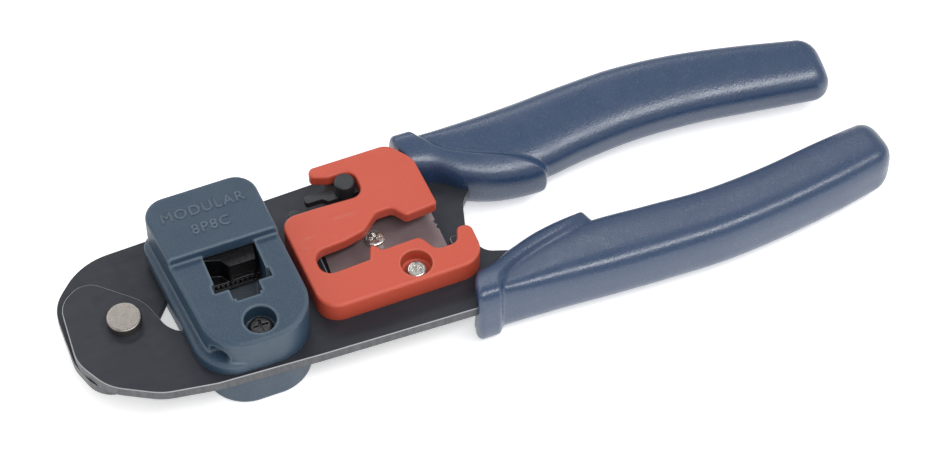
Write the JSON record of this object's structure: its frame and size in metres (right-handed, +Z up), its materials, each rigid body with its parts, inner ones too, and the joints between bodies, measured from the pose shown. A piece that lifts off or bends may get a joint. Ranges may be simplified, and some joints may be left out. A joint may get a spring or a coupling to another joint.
{
  "type": "modular plug crimping tool",
  "caption": "Two-handled crimping tool for modular plugs: riveted plate arms, a moulded plug die block, a guarded cable cutter and stripper, a sliding lock and moulded grips.",
  "frame": {"origin": "centre of the bounding box in plan, on the surface the tool lies on", "axes": "+X from the pivot towards the grips, +Y towards the arm that moves, +Z up through the stacked plates"},
  "size_m": [0.1704, 0.05, 0.0222],
  "materials": {
    "plate_black": "black oxide sheet steel, satin, bright at the sheared rims",
    "rivet_nickel": "nickel plated, lightly brushed",
    "block_slate": "blue-grey moulded nylon, satin with a fine grain",
    "guard_red": "red-orange moulded nylon, satin",
    "grip_navy": "navy moulded vinyl, fine grained satin",
    "screw_dark": "blackened steel",
    "screw_bright": "bright zinc plated",
    "blade_steel": "ground tool steel",
    "punch_black": "black finished steel with bright worn edges",
    "knob_black": "black moulded nylon"
  },
  "bodies": {
    "lower_arm": {"front_plate": "plate_black", "pivot_rivet": "rivet_nickel", "pivot_washers": "rivet_nickel", "die_block_top": "block_slate", "die_block_bottom": "block_slate", "block_screw": "screw_dark", "block_nut": "screw_dark", "cutter_guard": "guard_red", "guard_screw": "screw_bright", "guard_nut": "screw_bright", "lock_keeper": "blade_steel", "keeper_screws": "screw_dark", "fixed_blade": "blade_steel", "lower_grip": "grip_navy", "lower_grip_pins": "screw_dark"},
    "upper_arm": {"rear_plate": "plate_black", "upper_grip": "grip_navy", "upper_grip_pins": "screw_dark", "moving_blade": "blade_steel", "blade_screws": "screw_bright", "drive_pin": "screw_dark", "lock_stud": "knob_black"},
    "punch": {"crimp_punch": "punch_black", "contact_comb": "punch_black", "strain_punch": "punch_black"},
    "lock": {"lock_slider": "knob_black", "lock_knob": "knob_black"}
  },
  "joints": [
    {"name": "arm_pivot", "type": "hinge", "parent": "lower_arm", "child": "upper_arm", "pos_m": [-0.07336, 0.00128, 0.009], "axis": [0, 0, 1], "range_deg": [0, 8.5]},
    {"name": "punch_slide", "type": "slide", "parent": "lower_arm", "child": "punch", "axis": [0, 1, 0], "range_m": [0, 0.0033]},
    {"name": "lock_slide", "type": "slide", "parent": "lower_arm", "child": "lock", "axis": [-1, 0, 0], "range_m": [0, 0.006]}
  ],
  "couplings": [
    {"joint": "punch_slide", "follows": "arm_pivot", "m_per_rad": 0.02218}
  ]
}
